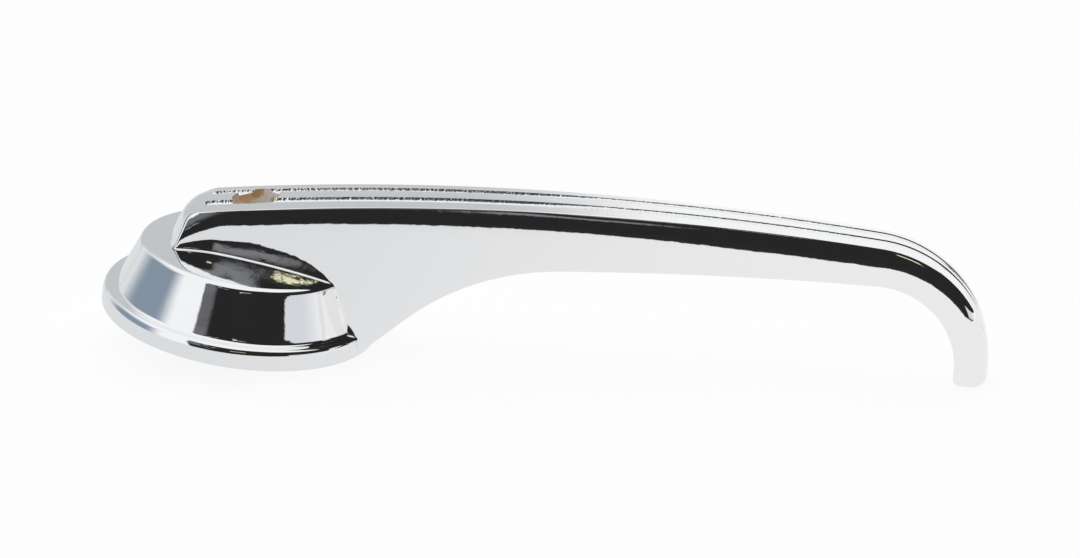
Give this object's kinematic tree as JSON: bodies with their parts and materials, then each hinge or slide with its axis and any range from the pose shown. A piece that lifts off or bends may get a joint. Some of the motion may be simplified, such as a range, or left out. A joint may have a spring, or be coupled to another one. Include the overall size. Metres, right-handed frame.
{
  "type": "car interior door handle",
  "caption": "Chromed lever handle: a round flanged boss with a screw hole and a square socket behind it, and a tapering grooved lever that curls down at its finger end.",
  "frame": {"origin": "on the spindle axis, in the plane of the flange's back, which lies on the door panel", "axes": "+Z along the spindle axis into the cabin, +X along the lever towards its finger end"},
  "size_m": [0.1205, 0.038, 0.0312],
  "materials": {
    "chrome": "mirror-bright chrome plate on a zinc casting"
  },
  "bodies": {
    "root": {"door_handle": "chrome"}
  },
  "joints": []
}
